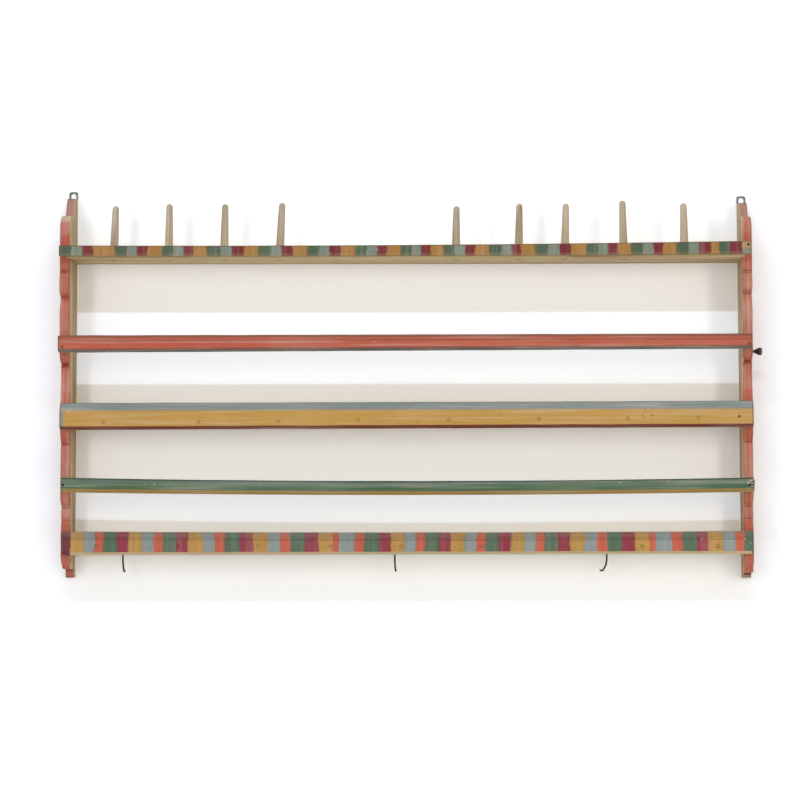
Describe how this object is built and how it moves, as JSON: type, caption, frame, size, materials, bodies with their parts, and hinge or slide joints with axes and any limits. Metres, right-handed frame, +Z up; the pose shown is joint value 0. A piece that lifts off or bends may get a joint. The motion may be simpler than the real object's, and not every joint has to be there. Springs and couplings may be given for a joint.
{
  "type": "wall plate rack",
  "caption": "Painted wooden wall rack for plates: scalloped side boards, shelves, plain and striped front rails, upright pegs, iron hooks, a side knob and hanging eyes.",
  "frame": {"origin": "middle of the middle shelf's back edge, on the wall plane", "axes": "+X to the right along the shelves, +Y into the wall, +Z up"},
  "size_m": [1.4753, 0.1155, 0.8314],
  "materials": {
    "coral_paint": "worn matt coral-red paint on wood, bare on inner faces",
    "ochre_paint": "worn matt ochre paint with a grey-blue upper slope and a dark-red lower bevel",
    "green_paint": "worn matt green paint with an ochre lower bevel",
    "striped_paint": "worn matt paint in upright blocks of green, grey-blue, burgundy, ochre and coral",
    "bare_pine": "bare aged pine",
    "peg_wood": "bare whittled wood",
    "pin_wood": "end grain of wooden pins",
    "black_iron": "dark forged iron",
    "hanger_steel": "dull grey sheet metal",
    "dark_wood": "dark brown turned wood, satin"
  },
  "bodies": {
    "rack": {"bottom_rail": "striped_paint", "bottom_rail_pin_1": "pin_wood", "bottom_rail_pin_2": "pin_wood", "bottom_rail_pin_3": "pin_wood", "bottom_rail_pin_4": "pin_wood", "bottom_rail_pin_5": "pin_wood", "bottom_rail_pin_6": "pin_wood", "bottom_rail_pin_7": "pin_wood", "bottom_rail_pin_8": "pin_wood", "bottom_rail_pin_9": "pin_wood", "bottom_shelf": "bare_pine", "hanger_left": "hanger_steel", "hanger_left_nail_1": "black_iron", "hanger_left_nail_2": "black_iron", "hanger_right": "hanger_steel", "hanger_right_nail_1": "black_iron", "hanger_right_nail_2": "black_iron", "hook_1": "black_iron", "hook_2": "black_iron", "hook_3": "black_iron", "left_side": "coral_paint", "lower_rail": "green_paint", "lower_rail_nail_1": "black_iron", "lower_rail_nail_2": "black_iron", "middle_rail": "ochre_paint", "middle_rail_nail_1": "black_iron", "middle_rail_pin_1": "pin_wood", "middle_rail_pin_2": "pin_wood", "middle_rail_pin_3": "pin_wood", "middle_rail_pin_4": "pin_wood", "middle_rail_pin_5": "pin_wood", "middle_rail_pin_6": "pin_wood", "middle_rail_pin_7": "pin_wood", "middle_rail_pin_8": "pin_wood", "middle_shelf": "bare_pine", "right_side": "coral_paint", "side_knob": "dark_wood", "top_shelf": "bare_pine", "top_strip": "striped_paint", "top_strip_nail_1": "black_iron", "top_strip_nail_2": "black_iron", "top_strip_nail_3": "black_iron", "top_strip_nail_4": "black_iron", "upper_rail": "coral_paint", "upper_rail_nail_1": "black_iron", "upper_rail_nail_2": "black_iron"},
    "peg_body_1": {"peg_1": "peg_wood"},
    "peg_body_2": {"peg_2": "peg_wood"},
    "peg_body_3": {"peg_3": "peg_wood"},
    "peg_body_4": {"peg_4": "peg_wood"},
    "peg_body_5": {"peg_5": "peg_wood"},
    "peg_body_6": {"peg_6": "peg_wood"},
    "peg_body_7": {"peg_7": "peg_wood"},
    "peg_body_8": {"peg_8": "peg_wood"},
    "peg_body_9": {"peg_9": "peg_wood"}
  },
  "joints": [
    {"name": "peg_1_pull", "type": "slide", "parent": "rack", "child": "peg_body_1", "axis": [0.0314, 0, 0.9995], "range_m": [0, 0.022]},
    {"name": "peg_2_pull", "type": "slide", "parent": "rack", "child": "peg_body_2", "axis": [0.0105, 0, 0.9999], "range_m": [0, 0.022]},
    {"name": "peg_3_pull", "type": "slide", "parent": "rack", "child": "peg_body_3", "axis": [0.0175, 0, 0.9998], "range_m": [0, 0.022]},
    {"name": "peg_4_pull", "type": "slide", "parent": "rack", "child": "peg_body_4", "axis": [0.0489, 0, 0.9988], "range_m": [0, 0.022]},
    {"name": "peg_5_pull", "type": "slide", "parent": "rack", "child": "peg_body_5", "axis": [0.0122, 0, 0.9999], "range_m": [0, 0.022]},
    {"name": "peg_6_pull", "type": "slide", "parent": "rack", "child": "peg_body_6", "axis": [0.0175, 0, 0.9998], "range_m": [0, 0.022]},
    {"name": "peg_7_pull", "type": "slide", "parent": "rack", "child": "peg_body_7", "axis": [0.0279, 0, 0.9996], "range_m": [0, 0.022]},
    {"name": "peg_8_pull", "type": "slide", "parent": "rack", "child": "peg_body_8", "axis": [-0.0175, 0, 0.9998], "range_m": [0, 0.022]},
    {"name": "peg_9_pull", "type": "slide", "parent": "rack", "child": "peg_body_9", "axis": [-0.0122, 0, 0.9999], "range_m": [0, 0.022]}
  ]
}
